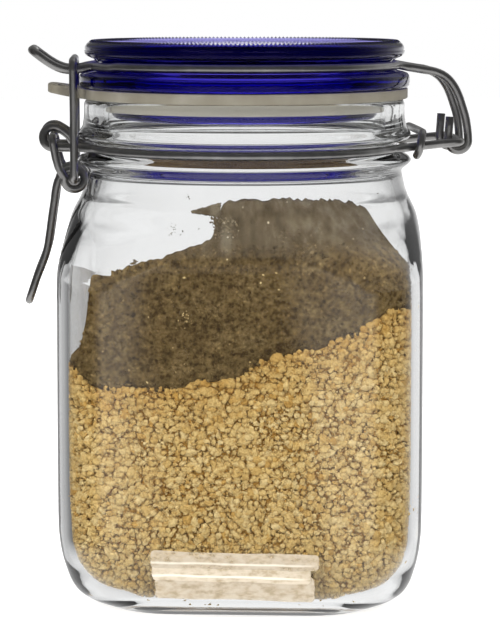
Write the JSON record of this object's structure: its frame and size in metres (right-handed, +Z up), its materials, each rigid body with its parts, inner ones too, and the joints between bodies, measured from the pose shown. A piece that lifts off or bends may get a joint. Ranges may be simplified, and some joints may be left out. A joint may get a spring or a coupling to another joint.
{
  "type": "clamp lid storage jar",
  "caption": "Square clear glass storage jar with a clamped blue glass lid, rubber gasket and wire bail, filled with coarse tan granules under a bank of brown powder.",
  "frame": {"origin": "centre of the jar's flat base, on the surface it stands on", "axes": "+Z up through the lid; the lid's hinge is at +X and the latch at -X, so every joint axis runs along +Y; the near face with the tape strip looks along -Y, turned 5.5 degrees"},
  "size_m": [0.1353, 0.114, 0.1676],
  "materials": {
    "clear_glass": "clear moulded glass, polished",
    "cobalt_glass": "deep cobalt blue moulded glass, polished",
    "cream_rubber": "aged cream rubber, matte",
    "dull_steel": "dulled drawn wire",
    "tan_granules": "coarse dry granules, matte",
    "brown_powder": "fine crumbly powder, matte",
    "cream_tape": "creased clear tape, yellowed"
  },
  "bodies": {
    "jar": {"jar_glass": "clear_glass", "granules": "tan_granules", "powder": "brown_powder", "tape_strip": "cream_tape", "neck_wire": "dull_steel", "neck_clip": "dull_steel"},
    "lid": {"lid_glass": "cobalt_glass", "lid_wire": "dull_steel", "gasket": "cream_rubber"},
    "lever": {"lever_wire": "dull_steel"},
    "link": {"link_wire": "dull_steel"}
  },
  "joints": [
    {"name": "lid_hinge", "type": "hinge", "parent": "jar", "child": "lid", "pos_m": [0.06415, 0, 0.1376], "axis": [0, 1, 0], "range_deg": [0, 215]},
    {"name": "lever_pivot", "type": "hinge", "parent": "jar", "child": "lever", "pos_m": [-0.0578, 0, 0.1389], "axis": [0, 1, 0], "range_deg": [0, 21]},
    {"name": "link_pivot", "type": "hinge", "parent": "lever", "child": "link", "pos_m": [-0.0515, 0, 0.1265], "axis": [0, 1, 0], "range_deg": [-146, 0]}
  ],
  "couplings": [
    {"joint": "lever_pivot", "follows": "lid_hinge", "ratio": 0.093},
    {"joint": "link_pivot", "follows": "lid_hinge", "ratio": -0.675}
  ]
}
